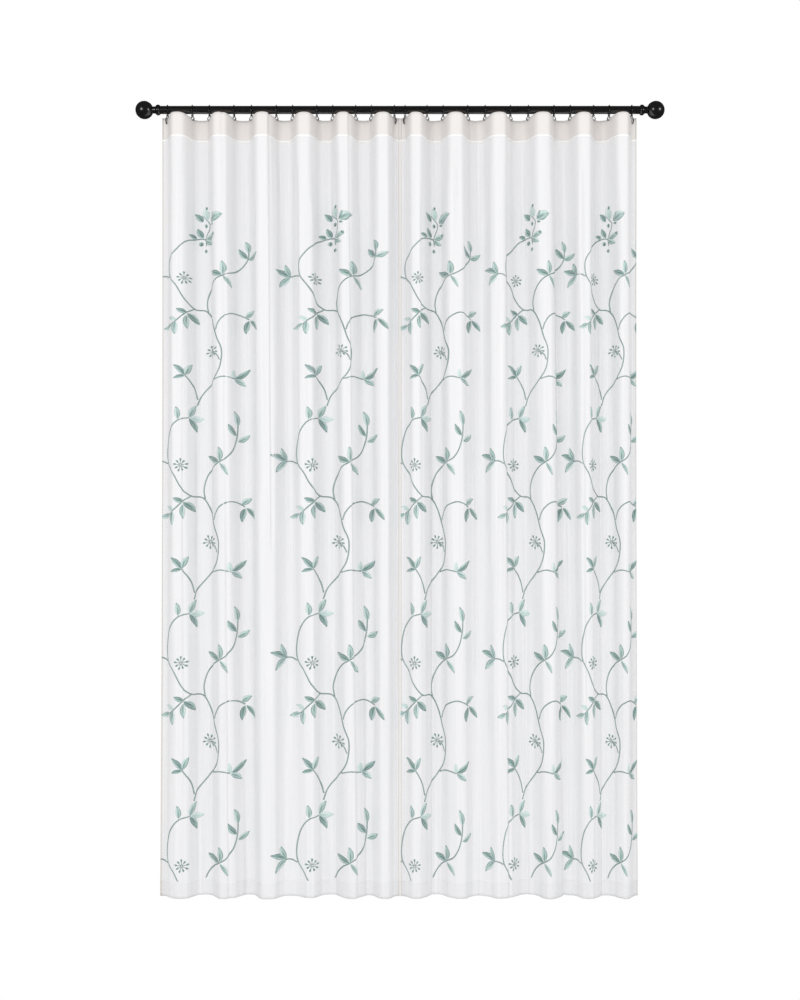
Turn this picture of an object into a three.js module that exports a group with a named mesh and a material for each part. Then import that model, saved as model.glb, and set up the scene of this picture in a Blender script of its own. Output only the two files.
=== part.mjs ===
// A pair of sheer voile curtain panels, hung by clip rings from a black rod with ball finials.
// Millimetres, +Z up. The origin is on the rod's axis at mid-length, +X runs along the rod,
// and the room side, from which the curtain is seen, is -Y.
import * as THREE from 'three';

// Driving dimensions
const GAP = 0.3; // air kept between pieces that touch
const ROD = { radius: 11, length: 1310, sides: 28 };
const FINIAL = { ball: 24.5, ballCentre: 44, neck: 9.2, collar: 14.6, collarHalf: 6.5 };
const FINIAL_STEPS = { round: 20, collar: 6, ball: 9 };
const RING = { radius: 14.2, wire: 1.2, hang: 0.5, wireSides: 5, steps: 12 };
const VOILE = { thickness: 1, hemThickness: 1.8, hemStitch: -2108, hemBottom: -2152 };
const HEADING = { thickness: 1, gap: 0.45, bottom: -82, belowEdge: 1.5, sideInset: 2 };
const CLIP = { width: 4.2, strip: 1.1, eye: 3.3, eyeHole: 2.3, eyePlay: 1, eyeSteps: 4, head: 0.4 };
const JAW = { length: 9.5, endLength: 19, strip: 1.7, bow: 2.8, bowAt: 0.55 };

// Height of the cloth's top edge: the stiff heading stands a little higher between its clips.
const TOP_EDGE = { front: -18.6, back: -25, side: -21, clipDip: 0.8 };

// Levels between the heading and the hem where the panel's section is worked out.
const PANEL_LEVELS = [-240, -520, -940, -1400, -1800];

// Each fold of a panel, from its left side to its right side: its place along the rod (x) and its
// depth (y, negative towards the room) under the heading and at the hem, and its sideways drift
// half way down. Fronts and backs follow each other between the two side edges.
const fold = (topX, topY, hemX, hemY, drift) => ({ topX, topY, hemX, hemY, drift });
const LEFT_FOLDS = [
  fold(-651, 6, -657, 7, 2),
  fold(-603, -54, -599, -25, -3),
  fold(-544, 18, -534, 21, 3),
  fold(-488, -53, -479, -25, 4),
  fold(-430, 19, -408, 20, -6),
  fold(-372, -55, -359, -28, 5),
  fold(-316, 17, -300, 9, 4),
  fold(-260, -53, -245, -13, -3),
  fold(-205, 18, -192, 22, 3),
  fold(-153, -54, -129, -26, 4),
  fold(-100, 17, -86, 13, -3),
  fold(-46, -53, -42, -24, 2),
  fold(-1, 6, -1.2, 6, 0),
];
const RIGHT_FOLDS = [
  fold(1, 6, 1.2, 5, 0),
  fold(42, -53, 47, -24, 2),
  fold(96, 18, 101, 22, 3),
  fold(150, -54, 166, -24, -4),
  fold(209, 17, 219, 11, 3),
  fold(268, -53, 276, -22, -3),
  fold(326, 19, 353, 22, -5),
  fold(387, -55, 413, -25, 3),
  fold(444, 18, 462, 15, 5),
  fold(497, -53, 517, -25, -4),
  fold(551, 17, 566, 11, 3),
  fold(603, -54, 617, -23, 3),
  fold(648, 6, 652, 12, -2),
];

// Fullness of the folds: the higher, the flatter their fronts and backs and the steeper the cloth between.
const FULLNESS = { heading: 3, hem: 2 };

// The half wave between two folds has one flat facet where a clip grips it, and steps on each side.
const CLIP_FACET_HALF = 0.08;
const STEPS_BESIDE_CLIP = 3;

// Materials
const blackMetal = new THREE.MeshStandardMaterial({ color: 0x101011, roughness: 0.28, metalness: 0.6 });
const voile = new THREE.MeshStandardMaterial({ color: 0xe9eaec, roughness: 0.85, metalness: 0 });
const tape = new THREE.MeshStandardMaterial({ color: 0xe6e1dc, roughness: 0.9, metalness: 0 });

const mix = THREE.MathUtils.lerp;

// How far the section has gone from its heading form (0) to its hem form (1) at a level.
function fallAt(z) {
  const fall = (HEADING.bottom - z) / (HEADING.bottom - VOILE.hemStitch);
  return THREE.MathUtils.clamp(fall, 0, 1);
}

// A fold's place at a fall.
function foldAt(row, fall) {
  return {
    x: mix(row.topX, row.hemX, fall) + row.drift * Math.sin(Math.PI * fall),
    y: mix(row.topY, row.hemY, fall),
  };
}

// A point of the section between two folds, moved along its level normal, which faces the wall.
function sectionPoint({ from, to, t }, fall, distance = 0) {
  const a = foldAt(from, fall);
  const b = foldAt(to, fall);
  const fullness = mix(FULLNESS.heading, FULLNESS.hem, fall);
  const gone = t ** fullness;
  const left = (1 - t) ** fullness;
  const steepness = fullness * (t * (1 - t)) ** (fullness - 1) / (gone + left) ** 2;
  const along = b.x - a.x;
  const slope = (b.y - a.y) * steepness;
  const scale = distance / Math.hypot(along, slope);
  return {
    x: a.x + along * t - slope * scale,
    y: mix(a.y, b.y, gone / (gone + left)) + along * scale,
  };
}

// Where, between two folds, the heading crosses the rod's plane: a clip grips it there.
function crossing(from, to) {
  const ratio = (-from.topY / to.topY) ** (1 / FULLNESS.heading);
  return ratio / (1 + ratio);
}

// The columns of a panel's sheet, each at a share t of the half wave between two folds.
function sheetColumns(folds) {
  const columns = [];
  folds.slice(1).forEach((to, i) => {
    const from = folds[i];
    const before = crossing(from, to) - CLIP_FACET_HALF;
    const after = crossing(from, to) + CLIP_FACET_HALF;
    for (let step = 0; step <= STEPS_BESIDE_CLIP; step += 1) {
      columns.push({ from, to, t: before * step / STEPS_BESIDE_CLIP });
    }
    for (let step = 0; step < STEPS_BESIDE_CLIP; step += 1) {
      columns.push({ from, to, t: mix(after, 1, step / STEPS_BESIDE_CLIP) });
    }
  });
  columns.push({ from: folds.at(-2), to: folds.at(-1), t: 1 });
  return columns;
}

// Height of the top edge at a fold, and at a column between two folds.
function foldTop(row, folds) {
  if (row === folds[0] || row === folds.at(-1)) return TOP_EDGE.side;
  return row.topY < 0 ? TOP_EDGE.front : TOP_EDGE.back;
}

function topEdge({ from, to, t }, folds) {
  const dip = TOP_EDGE.clipDip * Math.sin(Math.PI * t) ** 2;
  const turn = THREE.MathUtils.smoothstep(t, 0, 1);
  return mix(foldTop(from, folds), foldTop(to, folds), turn) - dip;
}

// A closed sheet from a grid of columns and levels. Place gives the point of a column and a level
// on the room side (side 0) or on the wall side (side 1).
function closedSheet(columnCount, levelCount, place) {
  const positions = [];
  const indices = [];
  for (let side = 0; side < 2; side += 1) {
    for (let level = 0; level < levelCount; level += 1) {
      for (let column = 0; column < columnCount; column += 1) {
        positions.push(...place(column, level, side));
      }
    }
  }
  const at = (column, level, side) => (side * levelCount + level) * columnCount + column;
  const quad = (a, b, c, d) => indices.push(a, b, c, a, c, d);
  const right = columnCount - 1;
  const bottom = levelCount - 1;
  for (let level = 0; level < bottom; level += 1) {
    const below = level + 1;
    for (let column = 0; column < right; column += 1) {
      const next = column + 1;
      quad(at(column, below, 0), at(next, below, 0), at(next, level, 0), at(column, level, 0));
      quad(at(column, level, 1), at(next, level, 1), at(next, below, 1), at(column, below, 1));
    }
    quad(at(0, level, 0), at(0, level, 1), at(0, below, 1), at(0, below, 0));
    quad(at(right, below, 0), at(right, below, 1), at(right, level, 1), at(right, level, 0));
  }
  for (let column = 0; column < right; column += 1) {
    const next = column + 1;
    quad(at(column, 0, 0), at(next, 0, 0), at(next, 0, 1), at(column, 0, 1));
    quad(at(column, bottom, 1), at(next, bottom, 1), at(next, bottom, 0), at(column, bottom, 0));
  }
  const geometry = new THREE.BufferGeometry();
  geometry.setAttribute('position', new THREE.Float32BufferAttribute(positions, 3));
  geometry.setIndex(indices);
  geometry.computeVertexNormals();
  return geometry;
}

// A voile panel: one sheet from the top edge to the bottom of its doubled hem.
function panelGeometry(folds) {
  const columns = sheetColumns(folds);
  const hemFull = VOILE.hemStitch - VOILE.hemThickness;
  const levels = [HEADING.bottom, ...PANEL_LEVELS, VOILE.hemStitch, hemFull, VOILE.hemBottom];
  const place = (column, level, side) => {
    const z = level === 0 ? topEdge(columns[column], folds) : levels[level - 1];
    const half = (z < VOILE.hemStitch ? VOILE.hemThickness : VOILE.thickness) / 2;
    const { x, y } = sectionPoint(columns[column], fallAt(z), side === 0 ? -half : half);
    return [x, y, z];
  };
  return closedSheet(columns.length, levels.length + 1, place);
}

// A heading band: a strip along the wall side of the panel's top, on the same folds.
function headingGeometry(folds) {
  const columns = sheetColumns(folds);
  const near = VOILE.thickness / 2 + HEADING.gap;
  const far = near + HEADING.thickness;
  const inset = (column) => {
    if (column === 0) return HEADING.sideInset;
    return column === columns.length - 1 ? -HEADING.sideInset : 0;
  };
  const place = (column, level, side) => {
    const z = level === 0 ? topEdge(columns[column], folds) - HEADING.belowEdge : HEADING.bottom;
    const { x, y } = sectionPoint(columns[column], 0, side === 0 ? near : far);
    return [x + inset(column), y, z];
  };
  return closedSheet(columns.length, 2, place);
}

// A ball finial turned about the rod's axis, standing up along +Y from the rod's end at its origin.
function finialGeometry() {
  const { ball, ballCentre, neck, collar, collarHalf } = FINIAL;
  const profile = [new THREE.Vector2(0, 0), new THREE.Vector2(ROD.radius, 0)];
  for (let step = 1; step <= FINIAL_STEPS.collar; step += 1) {
    const angle = Math.PI * step / FINIAL_STEPS.collar;
    const radius = neck + (collar - neck) * Math.sin(angle);
    profile.push(new THREE.Vector2(radius, collarHalf * (1 - Math.cos(angle))));
  }
  const neckAngle = Math.asin(neck / ball);
  for (let step = 0; step < FINIAL_STEPS.ball; step += 1) {
    const angle = mix(neckAngle, Math.PI, step / FINIAL_STEPS.ball);
    profile.push(new THREE.Vector2(ball * Math.sin(angle), ballCentre - ball * Math.cos(angle)));
  }
  profile.push(new THREE.Vector2(0, ballCentre + ball));
  return new THREE.LatheGeometry(profile, FINIAL_STEPS.round);
}

// A clip seen from the room: an eye for the ring's wire at its origin, a head under the eye, and two
// bowed jaws. From its shoulders down it is turned to the run of the cloth that its tips grip.
function clipGeometry(jawLength, turn) {
  const { width, strip, eye, eyeHole, head } = CLIP;
  const grip = (VOILE.thickness + HEADING.gap + HEADING.thickness) / 2 + GAP;
  const headBase = -eye - head;
  const shoulder = headBase + strip;
  const belly = headBase - jawLength * JAW.bowAt;
  const tip = headBase - jawLength;
  const outline = new THREE.Shape();
  outline.moveTo(grip, tip);
  outline.lineTo(grip + JAW.bow, belly);
  outline.lineTo(grip, headBase);
  outline.lineTo(-grip, headBase);
  outline.lineTo(-grip - JAW.bow, belly);
  outline.lineTo(-grip, tip);
  outline.lineTo(-grip - JAW.strip, tip);
  outline.lineTo(-grip - JAW.bow - JAW.strip, belly);
  outline.lineTo(-grip - strip, shoulder);
  outline.absarc(0, 0, eye, -0.75 * Math.PI, -0.25 * Math.PI, true);
  outline.lineTo(grip + strip, shoulder);
  outline.lineTo(grip + JAW.bow + JAW.strip, belly);
  outline.lineTo(grip + JAW.strip, tip);
  const hole = new THREE.Path();
  hole.absarc(0, 0, eyeHole, 0, 2 * Math.PI, false);
  outline.holes.push(hole);
  const extrusion = { depth: width, bevelEnabled: false, curveSegments: CLIP.eyeSteps };
  const geometry = new THREE.ExtrudeGeometry(outline, extrusion);
  geometry.translate(0, 0, -width / 2);
  geometry.rotateX(Math.PI / 2);
  const points = geometry.attributes.position;
  for (let i = 0; i < points.count; i += 1) {
    const angle = points.getZ(i) < shoulder + strip / 10 ? turn : 0;
    const x = points.getX(i);
    const y = points.getY(i);
    points.setX(i, x * Math.cos(angle) - y * Math.sin(angle));
    points.setY(i, x * Math.sin(angle) + y * Math.cos(angle));
  }
  geometry.computeVertexNormals();
  return geometry;
}

// The places where a panel is gripped: the middle of the cloth and band there, and the turn of the
// cloth's run away from the wall direction.
function clipPlaces(folds) {
  const middle = (HEADING.gap + HEADING.thickness) / 2;
  return folds.slice(1).map((to, i) => {
    const from = folds[i];
    const t = crossing(from, to);
    const before = sectionPoint({ from, to, t: t - CLIP_FACET_HALF }, 0, middle);
    const after = sectionPoint({ from, to, t: t + CLIP_FACET_HALF }, 0, middle);
    const along = after.x - before.x;
    const across = after.y - before.y;
    return {
      x: before.x - before.y * along / across,
      turn: -Math.atan(along / across),
      atSide: i === 0 || i === folds.length - 2,
    };
  });
}

const curtain = new THREE.Group();

function addPiece(name, geometry, material) {
  const mesh = new THREE.Mesh(geometry, material);
  mesh.name = name;
  curtain.add(mesh);
  return mesh;
}

// A ring hanging on the rod, with its clip hanging on the ring.
function addClipRing(label, place) {
  const ringCentre = ROD.radius + RING.hang - (RING.radius - RING.wire);
  const torus = new THREE.TorusGeometry(RING.radius, RING.wire, RING.wireSides, RING.steps);
  const ring = addPiece(`ring_${label}`, torus, blackMetal);
  ring.rotation.y = Math.PI / 2;
  ring.position.set(place.x, 0, ringCentre);
  const jawLength = place.atSide ? JAW.endLength : JAW.length;
  const clip = addPiece(`clip_${label}`, clipGeometry(jawLength, place.turn), blackMetal);
  const eyeDrop = CLIP.eyeHole - RING.wire - CLIP.eyePlay;
  clip.position.set(place.x, 0, ringCentre - RING.radius - eyeDrop);
}

function addRod() {
  const tube = new THREE.CylinderGeometry(ROD.radius, ROD.radius, ROD.length, ROD.sides);
  addPiece('rod', tube, blackMetal).rotation.z = Math.PI / 2;
  for (const [side, sign] of [['left', -1], ['right', 1]]) {
    const finial = addPiece(`finial_${side}`, finialGeometry(), blackMetal);
    finial.rotation.z = -sign * Math.PI / 2;
    finial.position.x = sign * (ROD.length / 2 + GAP);
  }
}

function addPanel(side, folds) {
  addPiece(`panel_${side}`, panelGeometry(folds), voile);
  addPiece(`heading_${side}`, headingGeometry(folds), tape);
  clipPlaces(folds).forEach((place, i) => {
    addClipRing(`${side}_${String(i + 1).padStart(2, '0')}`, place);
  });
}

addRod();
addPanel('left', LEFT_FOLDS);
addPanel('right', RIGHT_FOLDS);

export default curtain;
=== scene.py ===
"""The looks of a pair of sheer voile curtain panels, hung by clip rings from a black rod."""
import math
from collections import namedtuple

import bpy
import numpy as np
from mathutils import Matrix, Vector


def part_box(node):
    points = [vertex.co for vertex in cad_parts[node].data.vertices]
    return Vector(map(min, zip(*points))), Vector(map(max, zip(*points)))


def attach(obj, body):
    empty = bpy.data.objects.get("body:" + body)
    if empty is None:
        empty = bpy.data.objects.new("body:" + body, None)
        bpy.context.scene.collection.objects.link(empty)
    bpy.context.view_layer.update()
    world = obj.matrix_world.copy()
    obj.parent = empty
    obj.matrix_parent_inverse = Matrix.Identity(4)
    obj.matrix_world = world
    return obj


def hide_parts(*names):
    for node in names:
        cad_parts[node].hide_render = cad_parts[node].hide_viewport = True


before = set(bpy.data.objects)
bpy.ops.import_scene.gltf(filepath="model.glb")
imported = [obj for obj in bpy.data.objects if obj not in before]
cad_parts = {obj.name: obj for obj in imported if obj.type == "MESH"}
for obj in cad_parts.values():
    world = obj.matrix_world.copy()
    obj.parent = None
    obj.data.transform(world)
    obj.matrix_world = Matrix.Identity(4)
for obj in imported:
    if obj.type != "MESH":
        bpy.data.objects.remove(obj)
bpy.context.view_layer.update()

# Cloth sizes, in metres. Heights are measured from the rod's axis, and -Y is the room side.
HEADING_BOTTOM = -0.082
HEM_STITCH = -2.108
HEM_BOTTOM = -2.152
TOP_FRONT = -0.0186
TOP_BACK = -0.025
TOP_SIDE = -0.021
CLIP_DIP = 0.0008
SIDE_HEM = 0.012
LAYER = 0.0012  # between a hem's two layers
BAND_LIFT = -0.00145  # the heading band's middle, behind the voile

# Each fold of a panel, from its left side to its right side: its place along the rod (x) and its
# depth (y, negative towards the room) under the heading and at the hem, and its sideways drift
# half way down.
Fold = namedtuple("Fold", "top_x top_y hem_x hem_y drift")
LEFT_FOLDS = (
    Fold(-0.651, 0.006, -0.657, 0.007, 0.002),
    Fold(-0.603, -0.054, -0.599, -0.025, -0.003),
    Fold(-0.544, 0.018, -0.534, 0.021, 0.003),
    Fold(-0.488, -0.053, -0.479, -0.025, 0.004),
    Fold(-0.430, 0.019, -0.408, 0.020, -0.006),
    Fold(-0.372, -0.055, -0.359, -0.028, 0.005),
    Fold(-0.316, 0.017, -0.300, 0.009, 0.004),
    Fold(-0.260, -0.053, -0.245, -0.013, -0.003),
    Fold(-0.205, 0.018, -0.192, 0.022, 0.003),
    Fold(-0.153, -0.054, -0.129, -0.026, 0.004),
    Fold(-0.100, 0.017, -0.086, 0.013, -0.003),
    Fold(-0.046, -0.053, -0.042, -0.024, 0.002),
    Fold(-0.001, 0.006, -0.0012, 0.006, 0.0),
)
RIGHT_FOLDS = (
    Fold(0.001, 0.006, 0.0012, 0.005, 0.0),
    Fold(0.042, -0.053, 0.047, -0.024, 0.002),
    Fold(0.096, 0.018, 0.101, 0.022, 0.003),
    Fold(0.150, -0.054, 0.166, -0.024, -0.004),
    Fold(0.209, 0.017, 0.219, 0.011, 0.003),
    Fold(0.268, -0.053, 0.276, -0.022, -0.003),
    Fold(0.326, 0.019, 0.353, 0.022, -0.005),
    Fold(0.387, -0.055, 0.413, -0.025, 0.003),
    Fold(0.444, 0.018, 0.462, 0.015, 0.005),
    Fold(0.497, -0.053, 0.517, -0.025, -0.004),
    Fold(0.551, 0.017, 0.566, 0.011, 0.003),
    Fold(0.603, -0.054, 0.617, -0.023, 0.003),
    Fold(0.648, 0.006, 0.652, 0.012, -0.002),
)

# Fullness of the folds under the heading and at the hem: the higher, the flatter their fronts and backs.
FULL_HEADING = 3.0
FULL_HEM = 2.0

# Creases in the voile: place along the rod under the heading and at the hem, heights where the crease
# starts and ends, half width, and depth, positive for a trough and negative for a ridge.
Crease = namedtuple("Crease", "top_x hem_x start end half_width depth")
CREASE_FADE = 0.11
THROUGH = CREASE_FADE  # a start so high that the crease runs through the heading
LEFT_CREASES = (
    Crease(-0.622, -0.628, -0.09, -1.30, 0.0047, 0.0016),
    Crease(-0.590, -0.584, -0.60, -1.90, 0.0050, 0.0024),
    Crease(-0.561, -0.552, -0.09, HEM_BOTTOM, 0.0042, 0.0015),
    Crease(-0.521, -0.512, -0.25, HEM_BOTTOM, 0.0046, 0.0018),
    Crease(-0.482, -0.462, THROUGH, HEM_BOTTOM, 0.0042, 0.0040),
    Crease(-0.466, -0.448, -0.30, HEM_BOTTOM, 0.0080, -0.0025),
    Crease(-0.440, -0.424, -0.50, HEM_BOTTOM, 0.0044, 0.0016),
    Crease(-0.400, -0.396, -0.20, -0.40, 0.0040, 0.0030),
    Crease(-0.352, -0.340, THROUGH, -1.25, 0.0040, 0.0046),
    Crease(-0.341, -0.332, -0.09, -0.90, 0.0050, -0.0022),
    Crease(-0.385, -0.378, -1.00, HEM_BOTTOM, 0.0140, -0.0055),
    Crease(-0.318, -0.304, -0.30, -1.70, 0.0044, 0.0018),
    Crease(-0.282, -0.276, -0.12, -0.95, 0.0040, 0.0032),
    Crease(-0.241, -0.236, -0.20, HEM_BOTTOM, 0.0090, -0.0035),
    Crease(-0.224, -0.216, -0.35, HEM_BOTTOM, 0.0042, 0.0017),
    Crease(-0.177, -0.163, -0.09, -1.50, 0.0044, 0.0015),
    Crease(-0.136, -0.112, THROUGH, HEM_BOTTOM, 0.0042, 0.0040),
    Crease(-0.119, -0.098, -0.20, HEM_BOTTOM, 0.0070, -0.0028),
    Crease(-0.078, -0.070, -0.15, -1.80, 0.0044, 0.0020),
    Crease(-0.036, -0.033, -0.15, HEM_BOTTOM, 0.0090, -0.0030),
    Crease(-0.020, -0.018, -0.09, HEM_BOTTOM, 0.0042, 0.0015),
)
RIGHT_CREASES = (
    Crease(0.024, 0.026, -0.09, -1.40, 0.0042, 0.0015),
    Crease(0.060, 0.066, -0.20, HEM_BOTTOM, 0.0046, 0.0018),
    Crease(0.088, 0.090, THROUGH, HEM_BOTTOM, 0.0042, 0.0036),
    Crease(0.127, 0.134, -0.15, HEM_BOTTOM, 0.0090, -0.0036),
    Crease(0.150, 0.153, -0.085, -0.32, 0.0040, 0.0030),
    Crease(0.180, 0.188, -0.30, HEM_BOTTOM, 0.0044, 0.0017),
    Crease(0.206, 0.212, THROUGH, -1.60, 0.0042, 0.0034),
    Crease(0.224, 0.232, -0.20, HEM_BOTTOM, 0.0085, -0.0032),
    Crease(0.246, 0.252, -0.09, -1.30, 0.0040, -0.0024),
    Crease(0.294, 0.300, THROUGH, HEM_BOTTOM, 0.0040, 0.0044),
    Crease(0.310, 0.322, -0.40, -1.80, 0.0044, 0.0016),
    Crease(0.338, 0.350, -0.12, HEM_BOTTOM, 0.0042, 0.0034),
    Crease(0.386, 0.400, -0.20, HEM_BOTTOM, 0.0130, -0.0042),
    Crease(0.424, 0.452, -0.09, HEM_BOTTOM, 0.0046, 0.0056),
    Crease(0.440, 0.466, -0.09, HEM_BOTTOM, 0.0060, -0.0028),
    Crease(0.470, 0.486, -0.30, -1.60, 0.0042, 0.0018),
    Crease(0.491, 0.506, -0.12, -1.70, 0.0042, 0.0036),
    Crease(0.522, 0.534, -0.20, HEM_BOTTOM, 0.0046, 0.0016),
    Crease(0.547, 0.556, THROUGH, HEM_BOTTOM, 0.0042, 0.0036),
    Crease(0.576, 0.588, -0.35, HEM_BOTTOM, 0.0044, 0.0018),
    Crease(0.602, 0.614, -0.20, HEM_BOTTOM, 0.0100, -0.0040),
    Crease(0.630, 0.636, -0.09, -1.50, 0.0042, 0.0016),
)

# Small ripples of the hanging voile: length of the wave along the rod, height, and slow sideways lean.
Ripple = namedtuple("Ripple", "length height lean phase")
RIPPLES = (
    Ripple(0.047, 0.0008, 0.9, 0.3),
    Ripple(0.029, 0.0005, -1.4, 1.9),
    Ripple(0.017, 0.00025, 0.6, 4.1),
)
RIPPLE_FADE = 0.25

# The embroidered vines: the place of each vine along the rod and how much its motif is narrowed.
Vine = namedtuple("Vine", "x narrow")
LEFT_VINES = (Vine(-0.547, 1.0), Vine(-0.192, 1.0))
RIGHT_VINES = (Vine(0.081, 0.86), Vine(0.351, 0.78), Vine(0.560, 0.73))

Panel = namedtuple("Panel", "side folds creases vines around_folds")
PANELS = (
    Panel("left", LEFT_FOLDS, LEFT_CREASES, LEFT_VINES, 0.2),
    Panel("right", RIGHT_FOLDS, RIGHT_CREASES, RIGHT_VINES, 0.2),
)

# The repeats of a vine: height of the top node, length of the repeat and its move to the right.
Repeat = namedtuple("Repeat", "top length shift")
REPEATS = (
    Repeat(-0.345, 0.498, 0.009),
    Repeat(-0.843, 0.533, 0.0),
    Repeat(-1.376, 0.553, 0.0),
    Repeat(-1.929, 0.553, 0.0),
)
CHART_LENGTH = 0.533

# The chart of one repeat, in metres across from the vine's line and down from the top node.
CROWN_STEM = ((0.004, 0.008), (-0.008, 0.005), (-0.029, 0.012), (-0.044, 0.022), (-0.068, 0.048))
CURL_STEM = ((-0.029, 0.000), (-0.056, 0.008), (-0.078, 0.036))
MAIN_STEM = (
    (-0.089, 0.080), (-0.087, 0.120), (-0.067, 0.152), (-0.047, 0.190), (-0.024, 0.213),
    (0.006, 0.219), (0.026, 0.252), (0.040, 0.298), (0.054, 0.338), (0.048, 0.390),
    (0.024, 0.428), (-0.006, 0.466), (-0.017, 0.496),
)
RIGHT_BRANCH = (
    (0.011, 0.222), (0.008, 0.194), (0.017, 0.160), (0.036, 0.134), (0.056, 0.121),
    (0.076, 0.108), (0.092, 0.084), (0.101, 0.052), (0.103, 0.021),
)
SIDE_STEMS = (
    ((-0.088, 0.125), (-0.104, 0.118), (-0.117, 0.118)),
    ((-0.024, 0.213), (-0.042, 0.227), (-0.068, 0.252), (-0.079, 0.262)),
    ((0.038, 0.278), (0.045, 0.258), (0.060, 0.239), (0.082, 0.229), (0.102, 0.232), (0.122, 0.243)),
    ((0.049, 0.366), (0.041, 0.350), (0.028, 0.341)),
    ((-0.046, 0.411), (-0.034, 0.428), (-0.023, 0.450), (-0.016, 0.478)),
    ((0.032, 0.421), (0.058, 0.414), (0.085, 0.419)),
)

# A leaf: place of its base, the way it points (degrees, 0 to the right and 90 up), its length and
# width, and its thread: 0 half pale, 1 mostly sage, 2 pale.
Leaf = namedtuple("Leaf", "x y angle length width thread")
LEAVES = (
    Leaf(0.055, 0.120, 155, 0.039, 0.015, 1),
    Leaf(0.057, 0.118, 94, 0.039, 0.015, 0),
    Leaf(0.058, 0.123, -58, 0.039, 0.010, 0),
    Leaf(-0.117, 0.118, 158, 0.045, 0.014, 1),
    Leaf(-0.117, 0.117, 111, 0.038, 0.013, 0),
    Leaf(-0.117, 0.119, 226, 0.042, 0.014, 0),
    Leaf(-0.042, 0.227, 160, 0.027, 0.012, 1),
    Leaf(-0.042, 0.236, -88, 0.039, 0.013, 0),
    Leaf(-0.041, 0.230, -44, 0.040, 0.015, 1),
    Leaf(-0.068, 0.252, 157, 0.025, 0.011, 2),
    Leaf(-0.079, 0.262, 198, 0.031, 0.012, 0),
    Leaf(-0.069, 0.255, -93, 0.037, 0.014, 0),
    Leaf(0.113, 0.237, 31, 0.031, 0.014, 0),
    Leaf(0.122, 0.247, -102, 0.039, 0.014, 1),
    Leaf(0.125, 0.246, -51, 0.042, 0.011, 1),
    Leaf(-0.046, 0.410, 134, 0.042, 0.013, 1),
    Leaf(-0.045, 0.410, 65, 0.036, 0.013, 0),
    Leaf(-0.046, 0.412, 194, 0.030, 0.009, 1),
    Leaf(0.085, 0.418, 94, 0.025, 0.010, 2),
    Leaf(0.086, 0.418, 36, 0.049, 0.013, 1),
    Leaf(0.086, 0.420, -35, 0.034, 0.013, 0),
)
CURL_LEAVES = (
    Leaf(0.103, 0.064, 30, 0.035, 0.013, 0),
    Leaf(0.099, 0.049, 122, 0.037, 0.012, 1),
    Leaf(0.103, 0.022, 104, 0.042, 0.013, 0),
    Leaf(-0.028, -0.001, 62, 0.038, 0.014, 0),
    Leaf(-0.027, 0.000, -3, 0.036, 0.014, 2),
    Leaf(-0.028, 0.002, -62, 0.042, 0.013, 1),
    Leaf(-0.056, 0.004, 97, 0.034, 0.013, 0),
)

# The crown that ends the top repeat, and its lower right branch, placed as in a repeat.
CROWN_BRANCH = (
    (0.011, 0.222), (0.008, 0.194), (0.017, 0.160), (0.036, 0.134), (0.058, 0.121),
    (0.085, 0.108), (0.106, 0.088), (0.119, 0.066), (0.121, 0.046),
)
CROWN_STEMS = (
    ((0.004, 0.008), (0.008, -0.007), (0.014, -0.021), (0.015, -0.036)),
    ((0.015, -0.037), (0.008, -0.048), (-0.003, -0.062)),
    ((0.004, 0.008), (0.005, 0.017), (0.006, 0.027)),
)
CROWN_LEAVES = (
    Leaf(0.121, 0.047, 104, 0.034, 0.014, 0),
    Leaf(0.118, 0.064, 128, 0.036, 0.013, 1),
    Leaf(0.120, 0.066, 22, 0.034, 0.014, 0),
    Leaf(0.011, -0.051, 104, 0.034, 0.017, 2),
    Leaf(-0.004, -0.044, 130, 0.029, 0.014, 1),
    Leaf(0.019, -0.041, 23, 0.040, 0.024, 0),
    Leaf(0.020, -0.042, 71, 0.025, 0.008, 1),
    Leaf(-0.002, 0.002, 119, 0.030, 0.014, 1),
    Leaf(-0.018, 0.004, 172, 0.020, 0.011, 1),
    Leaf(0.007, 0.007, 14, 0.028, 0.014, 0),
    Leaf(0.006, 0.010, -36, 0.025, 0.012, 0),
)
Berry = namedtuple("Berry", "x y angle length width")
CROWN_BERRIES = (
    Berry(0.006, -0.084, 95, 0.010, 0.006),
    Berry(0.025, -0.033, -15, 0.010, 0.006),
    Berry(0.005, -0.032, 100, 0.012, 0.007),
    Berry(0.029, -0.003, -20, 0.010, 0.008),
    Berry(-0.008, 0.021, 90, 0.013, 0.011),
    Berry(0.005, 0.042, -88, 0.011, 0.007),
)

# Seed-heads: short stalks round a point, each with a drop at its end.
SeedHead = namedtuple("SeedHead", "x y radius stalks turn")
SEED_HEADS = (SeedHead(-0.048, 0.129, 0.019, 9, 12), SeedHead(0.024, 0.339, 0.020, 9, 32))

# Thread sizes
STEM_WIDTH = 0.0036
STALK_WIDTH = 0.0019
DROP = (0.0080, 0.0046)
LEAF_BREADTH = 1.1  # the satin rows spread past the charted width
THREAD_FRONT = 0.0008
THREAD_BACK = 0.0004
CUT_MARGIN = 0.003  # the vines stop short of the hem's stitching

# Thread colours, as seen in daylight
PALE_MINT = (224, 240, 237)
MINT = (190, 214, 209)
SAGE = (142, 171, 167)
DEEP_SAGE = (90, 117, 114)
STEM_DARK = (110, 138, 135)
STEM_GREEN = (174, 192, 189)

CREAM = (237, 233, 230)  # the voile where the band backs it
SIDE_PAINTED_SHADE = (206, 200, 193)  # grey painted shade on the doubled layers at its side edges

# Camera: level, at half the curtain's height
CAMERA_DISTANCE = 4.0
CAMERA_HEIGHT = -1.067
PICTURE_HEIGHT = 2.736  # seen at the rod's distance
SENSOR = 0.036


def linear(colour):
    """A colour of 0 to 255 as linear light."""
    share = np.asarray(colour, float) / 255
    return np.where(share <= 0.04045, share / 12.92, ((share + 0.055) / 1.055) ** 2.4)


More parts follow.
